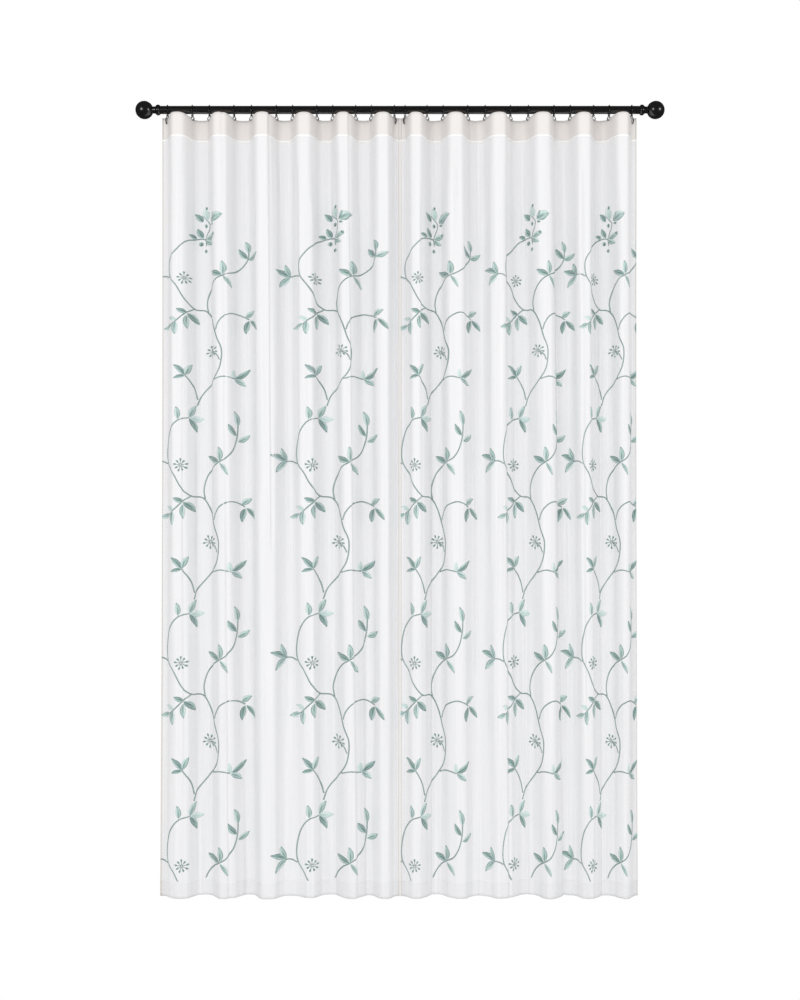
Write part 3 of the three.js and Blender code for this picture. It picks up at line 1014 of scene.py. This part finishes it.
def make_ring(label):
    """A wire ring hanging on the rod."""
    low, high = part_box(f"ring_{label}")
    centre = (low + high) / 2
    radius = (high.z - low.z) / 2 - WIRE
    turn = 2 * math.pi * np.arange(RING_STEPS) / RING_STEPS
    round_wire = 2 * math.pi * np.arange(WIRE_STEPS) / WIRE_STEPS
    reach = radius + WIRE * np.cos(round_wire)[None, :]
    y = centre.y + reach * np.cos(turn)[:, None]
    z = centre.z + reach * np.sin(turn)[:, None]
    x = np.broadcast_to(centre.x + WIRE * np.sin(round_wire), y.shape)
    index = np.arange(RING_STEPS * WIRE_STEPS).reshape(RING_STEPS, WIRE_STEPS)
    after = np.roll(index, -1, axis=1)
    faces = np.stack([index, after, np.roll(after, -1, axis=0), np.roll(index, -1, axis=0)], -1)
    points = np.stack([x, y, z], -1).reshape(-1, 3)
    metal_piece(f"wire_ring_{label}", points, faces.reshape(-1, 4).tolist(), f"ring_{label}")


CLIP_WIDTH = 0.0042
CLIP_STRIP = 0.0011
JAW_STRIP = 0.0017
CLIP_EYE = 0.0028  # to the middle of its strip
CLIP_BASE = -0.0037  # the head's underside, from the eye's centre
CLIP_GRIP = 0.0015  # inside of a jaw from the middle of the cloth
CLIP_BOW = 0.0028
CLIP_FACET = 0.08  # share of a half wave beside the clip
EYE_OPENING = 2.5  # radians from the eye's top to where the strip leaves it
CLIP_NECK = (0.0012, 0.0010)  # half width, and height above the base
JAW_BENDS = ((0.03, 0.0), (0.28, 0.8), (0.55, 1.0), (0.82, 0.6), (1.0, 0.0))  # shares of length and bow
SHOULDER = (-0.0015, 0.0016)  # height where the strip thickens and turns, and over what length
STRIP_CORNERS = (
    (-0.5, -0.42), (-0.5, 0.42), (-0.36, 0.5), (0.36, 0.5),
    (0.5, 0.42), (0.5, -0.42), (0.36, -0.5), (-0.36, -0.5),
)


def clip_turn(panel, number):
    """How far the cloth that a clip grips runs off the wall direction."""
    before, after = panel.folds[number - 1], panel.folds[number]
    ratio = (-before.top_y / after.top_y) ** (1 / FULL_HEADING)
    middle = number - 1 + ratio / (1 + ratio)
    s = np.array([middle - CLIP_FACET, middle + CLIP_FACET])
    x, y, _, _ = section(panel.folds, s, np.full(2, HEADING_BOTTOM))
    return -math.atan((x[1] - x[0]) / (y[1] - y[0]))


def clip_path(tip):
    """Half of a clip's bent strip, from the top of its eye to the tip of its right jaw."""
    angles = np.linspace(0, EYE_OPENING, 10)
    eye = [(CLIP_EYE * math.sin(angle), CLIP_EYE * math.cos(angle)) for angle in angles]
    neck = (CLIP_NECK[0], CLIP_BASE + CLIP_NECK[1])
    jaw = CLIP_GRIP + JAW_STRIP / 2
    length = CLIP_BASE - tip
    bends = [(jaw + bow * CLIP_BOW, CLIP_BASE - down * length) for down, bow in JAW_BENDS]
    return curve_through([*eye, neck, *bends], 0.0006)


def make_clip(panel, number):
    """A clip bent from one strip: an eye round the ring's wire, and two bowed jaws on the cloth."""
    label = f"{panel.side}_{number:02d}"
    low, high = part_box(f"clip_{label}")
    eye_z = high.z - CLIP_EYE - CLIP_STRIP / 2
    half = clip_path(low.z - eye_z)
    path = np.concatenate([half[:0:-1] * (-1, 1), half])
    tangent = np.gradient(path, axis=0)
    tangent /= np.linalg.norm(tangent, axis=1, keepdims=True)
    normal = np.stack([-tangent[:, 1], tangent[:, 0]], -1)
    corner = np.array(STRIP_CORNERS)
    below_eye = smooth((SHOULDER[0] - path[:, 1]) / SHOULDER[1])[:, None]
    strip = mix(CLIP_STRIP, JAW_STRIP, below_eye)
    flat = path[:, None] + normal[:, None] * (corner[:, 0] * strip)[..., None]
    depth = np.broadcast_to(corner[:, 1] * CLIP_WIDTH, flat.shape[:2])
    turned = clip_turn(panel, number) * below_eye
    x = (low.x + high.x) / 2 + flat[..., 0] * np.cos(turned) - depth * np.sin(turned)
    y = flat[..., 0] * np.sin(turned) + depth * np.cos(turned)
    points = np.stack([x, y, eye_z + flat[..., 1]], -1).reshape(-1, 3)
    metal_piece(f"strip_clip_{label}", points, tube_faces(len(path), len(corner)), f"clip_{label}")


for panel in PANELS:
    voile = make_panel(panel)
    band = make_band(panel)
    embroidery = make_embroidery(panel)
    cord = make_edge_cord(panel)
    stitches = make_stitches(panel)
    for number in range(1, len(panel.folds)):
        make_ring(f"{panel.side}_{number:02d}")
        make_clip(panel, number)
make_rod()
make_finial("left", -1)
make_finial("right", 1)


# Light and camera

def make_world(seen, lighting, mirrored):
    """White all round: as seen behind the curtain, dimmer where it lights, and dark in reflections."""
    world = bpy.data.worlds.new("studio")
    world.use_nodes = True
    bpy.context.scene.world = world
    tree = world.node_tree
    path = tree.nodes.new("ShaderNodeLightPath")
    light = tree.nodes.new("ShaderNodeMapRange")
    light.inputs["To Min"].default_value = lighting
    light.inputs["To Max"].default_value = mirrored
    tree.links.new(path.outputs["Is Glossy Ray"], light.inputs["Value"])
    level = tree.nodes.new("ShaderNodeMapRange")
    level.inputs["To Max"].default_value = seen
    tree.links.new(path.outputs["Is Camera Ray"], level.inputs["Value"])
    tree.links.new(light.outputs["Result"], level.inputs["To Min"])
    background = tree.nodes["Background"]
    background.inputs["Color"].default_value = (1, 1, 1, 1)
    tree.links.new(level.outputs["Result"], background.inputs["Strength"])


def add_light(name, place, target, size, power, mirrored):
    """A soft light; only the mirrored ones show in glossy things."""
    data = bpy.data.lights.new(name, "AREA")
    data.shape = "RECTANGLE"
    data.size, data.size_y = size
    data.energy = power
    light = bpy.data.objects.new(name, data)
    light.location = place
    light.visible_glossy = mirrored
    light.rotation_euler = (Vector(target) - Vector(place)).to_track_quat("-Z", "Y").to_euler()
    bpy.context.scene.collection.objects.link(light)


def add_camera():
    data = bpy.data.cameras.new("camera")
    data.sensor_width = SENSOR * 1000
    data.lens = SENSOR * 1000 * CAMERA_DISTANCE / PICTURE_HEIGHT
    camera = bpy.data.objects.new("camera", data)
    camera.location = (0, -CAMERA_DISTANCE, CAMERA_HEIGHT)
    camera.rotation_euler = (math.pi / 2, 0, 0)
    bpy.context.scene.collection.objects.link(camera)
    bpy.context.scene.camera = camera


make_world(seen=1.0, lighting=0.69, mirrored=0.06)
add_light("key", (-1.5, -4.6, -0.8), (0, 0, -1.0), (1.4, 2.4), 46, False)
add_light("fill", (1.7, -4.4, -0.8), (0, 0, -1.0), (1.4, 2.4), 36, False)
add_light("key_glint", (-2.7, -3.9, 0.05), (0, 0, -0.6), (1.2, 1.2), 28, True)
add_light("fill_glint", (3.2, -2.3, 0.05), (0, 0, -0.6), (1.0, 1.0), 16, True)
add_camera()
bpy.context.scene.view_settings.view_transform = "Standard"
